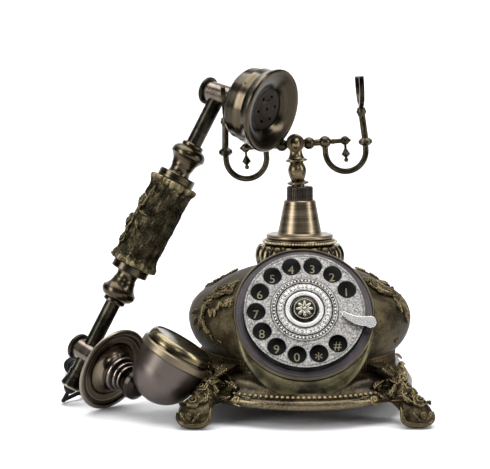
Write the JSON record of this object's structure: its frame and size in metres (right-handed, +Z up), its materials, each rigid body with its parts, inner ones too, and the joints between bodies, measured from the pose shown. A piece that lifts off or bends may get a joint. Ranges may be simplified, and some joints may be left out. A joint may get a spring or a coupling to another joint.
{
  "type": "cradle telephone",
  "caption": "French-style cradle telephone: round bronze body on scroll feet, tilted finger dial, sprung cradle, and a handset leaning in the left fork.",
  "frame": {"origin": "on the table under the axis of the column, midway between the feet", "axes": "+X to the right seen from the dial, +Y to the back, +Z up"},
  "size_m": [0.2592, 0.2231, 0.2326],
  "materials": {
    "bronzed_resin": "cast relief, dark olive bronze with rubbed gold highlights",
    "antique_brass": "turned and brushed, antiqued",
    "dark_bronze": "satin, darkened",
    "antique_pewter": "stippled, antiqued",
    "drum_bronze": "satin dark olive bronze",
    "black_plastic": "satin",
    "pad_rubber": "matt",
    "cord_jacket": "satin",
    "steel": "zinc plated",
    "gear_brass": "machined",
    "board_laminate": "lacquered"
  },
  "bodies": {
    "base": {"plinth": "bronzed_resin", "scroll_feet": "bronzed_resin", "rubber_pads": "pad_rubber", "waist_band": "bronzed_resin", "pot_shell": "bronzed_resin", "gadroon_ring": "bronzed_resin", "bead_ring": "antique_brass", "column_flange": "antique_brass", "column_cone": "antique_brass", "bottom_cover": "black_plastic", "bottom_screws": "steel", "line_jack": "black_plastic", "handset_jack": "black_plastic", "circuit_board": "board_laminate", "ringer": "black_plastic", "hook_switch": "black_plastic", "dial_drum": "drum_bronze", "dial_bezel": "antique_pewter", "dial_ring": "dark_bronze", "number_plate": "black_plastic", "mechanism_plate": "steel", "spring_can": "steel", "cradle_spring": "steel", "handset_cord": "cord_jacket", "cord_jack_plug": "black_plastic"},
    "finger_wheel": {"finger_wheel": "antique_pewter", "wheel_medallion": "dark_bronze", "dial_spindle": "steel", "main_gear": "gear_brass"},
    "governor": {"governor_pinion": "gear_brass"},
    "finger_stop": {"finger_stop": "antique_pewter"},
    "cradle": {"cradle_plunger": "dark_bronze", "cradle_stem": "antique_brass", "cradle_hub": "antique_brass", "left_arm": "antique_brass", "right_arm": "antique_brass", "left_horn": "antique_brass", "right_horn": "antique_brass", "left_fork": "antique_brass", "right_fork": "antique_brass", "cradle_drops": "antique_brass"},
    "handset": {"handle_tube": "dark_bronze", "tail_bell": "antique_brass", "grip_sleeve": "bronzed_resin", "upper_ferrule": "antique_brass", "lower_ferrule": "antique_brass", "mouth_joint": "antique_brass", "ear_joint": "antique_brass", "mouth_joint_cap": "dark_bronze", "ear_joint_cap": "dark_bronze", "ear_cup_back": "antique_brass", "ear_cup_front": "antique_brass", "ear_disc": "black_plastic", "receiver_capsule": "black_plastic", "mouth_saucer": "antique_brass", "mouth_cup": "antique_brass", "mouth_boss": "antique_brass", "mouth_lid": "antique_brass", "microphone_capsule": "black_plastic", "cord_plug": "black_plastic"}
  },
  "joints": [
    {"name": "wheel_turn", "type": "hinge", "parent": "base", "child": "finger_wheel", "pos_m": [0, -0.062, 0.0744], "axis": [0, 0.8526, -0.5225], "range_deg": [0, 321], "stiffness_Nm_per_rad": 0.006, "springref_deg": -28.65},
    {"name": "governor_spin", "type": "hinge", "parent": "base", "child": "governor", "pos_m": [0, -0.06274, 0.05022], "axis": [0, 0.8526, -0.5225], "range_deg": [-1290, 6]},
    {"name": "stop_press", "type": "slide", "parent": "base", "child": "finger_stop", "axis": [0, 0.8526, -0.5225], "range_m": [0, 0.0012], "stiffness_N_per_m": 400, "springref_m": -0.0006},
    {"name": "cradle_press", "type": "slide", "parent": "base", "child": "cradle", "axis": [0, 0, -1], "range_m": [0, 0.005], "stiffness_N_per_m": 1200, "springref_m": -0.005, "deforming": ["cradle_spring"]},
    {"name": "handset_lift", "type": "slide", "parent": "base", "child": "handset", "axis": [-0.0733, -0.03, 0.9969], "range_m": [0, 0.15]}
  ],
  "couplings": [
    {"joint": "governor_spin", "follows": "wheel_turn", "ratio": -4}
  ]
}
